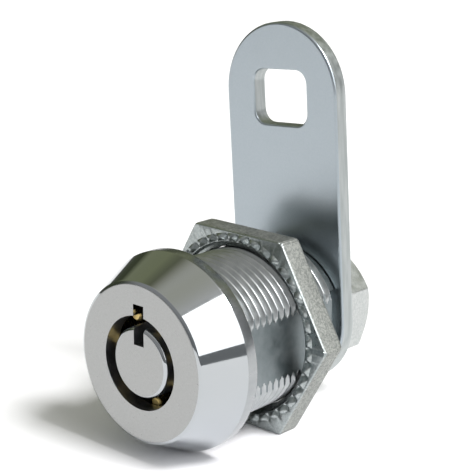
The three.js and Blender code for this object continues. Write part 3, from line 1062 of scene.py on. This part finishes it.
@cache
def floor_paper():
    """Plain pale table paper."""
    n = Nodes("floor_paper")
    colour = n.colours(n.noise(30, 3), (0.93, 0.925, 0.945), (0.95, 0.945, 0.965))
    return n.wire(Base_Color=colour, Metallic=0.0, Roughness=0.9, Specular_IOR_Level=0.1)


# ---------------------------------------------------------------- stage

# In metres
FLOOR_REACH = 8.0
LIGHT_DISTANCE = 5.0

# Lights: azimuths and elevations that they fill, in degrees, and radiance
SOFTBOX = ((66, 120), (11, 63), 2.1)
KEY = ((85, 108), (46, 62), 43)

# The room's brightness from the horizon (0) to overhead (1), on its dark side and on its light side
DARK_SIDE = [
    (0.0, (0.12, 0.12, 0.11)), (0.12, (0.07, 0.08, 0.05)), (0.27, (0.06, 0.07, 0.04)),
    (0.42, (0.25, 0.27, 0.17)), (0.72, (0.25, 0.27, 0.16)), (0.86, (0.16, 0.17, 0.11)),
    (0.95, (0.35, 0.35, 0.27)), (1.0, (0.50, 0.50, 0.42)),
]
LIGHT_SIDE = [
    (0.0, (0.22, 0.23, 0.235)), (0.15, (0.22, 0.23, 0.235)), (0.35, (0.34, 0.345, 0.35)),
    (0.8, (0.36, 0.36, 0.36)), (0.92, (0.62, 0.62, 0.60)), (1.0, (0.52, 0.52, 0.45)),
]
LIGHT_SIDE_DIRECTION = (0.77, -0.64, 0)
LIGHT_SIDE_FADE = (-0.45, -0.05)
BACKDROP = (1, 1, 1, 1)


def make_floor():
    """A wide sheet of paper under the lock."""
    bm = bmesh.new()
    bmesh.ops.create_grid(bm, x_segments=8, y_segments=8, size=FLOOR_REACH)
    mesh = bpy.data.meshes.new("floor")
    bm.to_mesh(mesh)
    bm.free()
    mesh.materials.append(floor_paper())
    floor = bpy.data.objects.new("floor", mesh)
    floor.location.z = FLOOR_Z * MM
    bpy.context.scene.collection.objects.link(floor)


def make_light(name, azimuths, elevations, radiance):
    """An upright rectangular light that fills a range of azimuths and elevations seen from the lock."""
    low, high = (LIGHT_DISTANCE * math.tan(math.radians(e)) for e in elevations)
    azimuth = math.radians(sum(azimuths) / 2)
    data = bpy.data.lights.new(name, "AREA")
    data.shape = "RECTANGLE"
    data.size = 2 * LIGHT_DISTANCE * math.tan(math.radians(azimuths[1] - azimuths[0]) / 2)
    data.size_y = high - low
    data.energy = radiance * math.pi * data.size * data.size_y
    light = bpy.data.objects.new(name, data)
    light.location = (
        LIGHT_DISTANCE * math.sin(azimuth), -LIGHT_DISTANCE * math.cos(azimuth), (low + high) / 2,
    )
    light.rotation_euler = (math.radians(90), 0, azimuth)
    bpy.context.scene.collection.objects.link(light)


def room_ramp(tree, height, stops):
    """A colour ramp over the height of a direction."""
    ramp = tree.nodes.new("ShaderNodeValToRGB")
    elements = ramp.color_ramp.elements
    for (position, colour), element in zip((stops[0], stops[-1]), elements):
        element.position, element.color = position, (*colour, 1)
    for position, colour in stops[1:-1]:
        elements.new(position).color = (*colour, 1)
    tree.links.new(height, ramp.inputs["Fac"])
    return ramp.outputs["Color"]


def mix_colours(tree, factor, first, second):
    """A colour from first to second by a factor, each a colour or a socket."""
    mix = tree.nodes.new("ShaderNodeMix")
    mix.data_type = "RGBA"
    tree.links.new(factor, mix.inputs["Factor"])
    for socket, value in ((mix.inputs["A"], first), (mix.inputs["B"], second)):
        if isinstance(value, bpy.types.NodeSocket):
            tree.links.new(value, socket)
        else:
            socket.default_value = value
    return mix.outputs["Result"]


def make_world():
    """A dim olive room, lighter and greyer at the front and right, with a plain white backdrop."""
    world = bpy.data.worlds.new("room")
    bpy.context.scene.world = world
    world.use_nodes = True
    tree = world.node_tree
    direction = tree.nodes.new("ShaderNodeTexCoord").outputs["Generated"]
    split = tree.nodes.new("ShaderNodeSeparateXYZ")
    tree.links.new(direction, split.inputs[0])
    side = tree.nodes.new("ShaderNodeVectorMath")
    side.operation = "DOT_PRODUCT"
    side.inputs[1].default_value = LIGHT_SIDE_DIRECTION
    tree.links.new(direction, side.inputs[0])
    share = tree.nodes.new("ShaderNodeMapRange")
    share.interpolation_type = "SMOOTHSTEP"
    share.inputs["From Min"].default_value = LIGHT_SIDE_FADE[0]
    share.inputs["From Max"].default_value = LIGHT_SIDE_FADE[1]
    tree.links.new(side.outputs["Value"], share.inputs["Value"])
    dark = room_ramp(tree, split.outputs["Z"], DARK_SIDE)
    light = room_ramp(tree, split.outputs["Z"], LIGHT_SIDE)
    room = mix_colours(tree, share.outputs["Result"], dark, light)
    path = tree.nodes.new("ShaderNodeLightPath")
    shown = mix_colours(tree, path.outputs["Is Camera Ray"], room, BACKDROP)
    tree.links.new(shown, tree.nodes["Background"].inputs["Color"])


# ---------------------------------------------------------------- assembly


def fit(piece, node, body, material=None):
    """A finished piece takes a CAD node's place."""
    if material is not None:
        piece.data.materials.clear()
        piece.data.materials.append(material)
    weight_normals(piece)
    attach(piece, body)
    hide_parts(node)


make_camera()
make_floor()
make_light("softbox", *SOFTBOX)
make_light("key", *KEY)
make_world()
bpy.context.scene.view_settings.view_transform = "Standard"

housing_piece = make_housing()
paint_housing(housing_piece)
fit(housing_piece, "housing", "housing")

spindle_piece = make_spindle()
paint_spindle(spindle_piece)
fit(spindle_piece, "spindle", "plug")

fit(make_sleeve_pin(), "sleeve_pin", "housing", steel_zinc())
nut_piece = make_mounting_nut()
paint_nut(nut_piece)
fit(nut_piece, "mounting_nut", "mounting_nut")

# The stop washer's dark plating is painted shade for the gap between the body and the cam.
fit(make_stop_washer(), "stop_washer", "plug", stop_washer_painted_shade_zinc())
cam_piece = make_cam()
paint_cam(cam_piece)
fit(cam_piece, "cam", "plug")
fit(make_lock_washer(), "lock_washer", "plug", steel_zinc())
fit(make_cam_nut(), "cam_nut", "plug", steel_zinc())
for stack in range(PIN_COUNT):
    key_pin, driver_pin = f"key_pin_{stack + 1}", f"driver_pin_{stack + 1}"
    fit(make_pin("key", stack), key_pin, key_pin, turned_brass())
    fit(make_pin("driver", stack), driver_pin, driver_pin, steel_zinc())
    spring_piece = make_spring(stack)
    fit(spring_piece, f"pin_spring_{stack + 1}", "housing", spring_wire())
    shorten_spring(spring_piece)

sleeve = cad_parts["driver_sleeve"]
sleeve.data.materials.clear()
sleeve.data.materials.append(turned_brass())
